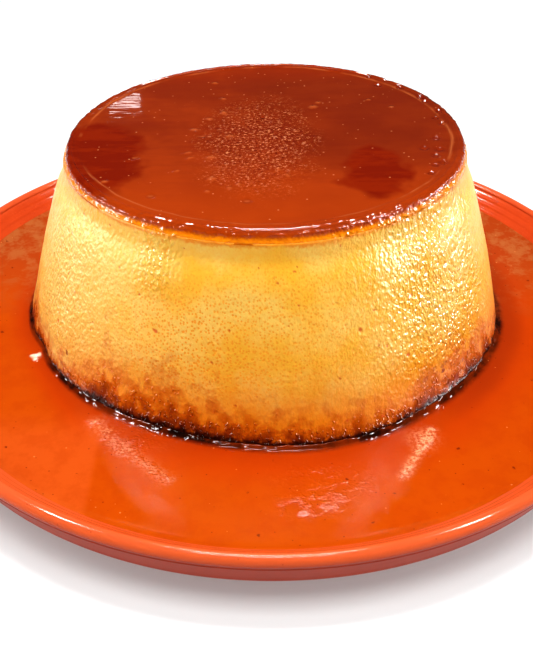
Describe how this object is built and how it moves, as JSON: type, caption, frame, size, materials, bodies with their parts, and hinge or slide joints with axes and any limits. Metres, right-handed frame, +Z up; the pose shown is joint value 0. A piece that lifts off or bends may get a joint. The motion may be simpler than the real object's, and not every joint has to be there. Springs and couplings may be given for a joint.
{
  "type": "leche flan on plate",
  "caption": "Round egg custard flan with a caramel top, turned out on a beaded round plate with a pool of caramel sauce.",
  "frame": {"origin": "on the table, under the centre of the plate's rim", "axes": "+Z up out of the flan's top, -Y towards the side seen in front"},
  "size_m": [0.27, 0.27, 0.0872],
  "materials": {
    "orange_glaze": "glossy",
    "egg_custard": "moist, satin",
    "set_caramel": "glossy",
    "caramel_sauce": "glossy, wet"
  },
  "bodies": {
    "root": {"plate": "orange_glaze", "custard": "egg_custard", "caramel_layer": "set_caramel", "caramel_pool": "caramel_sauce"}
  },
  "joints": []
}
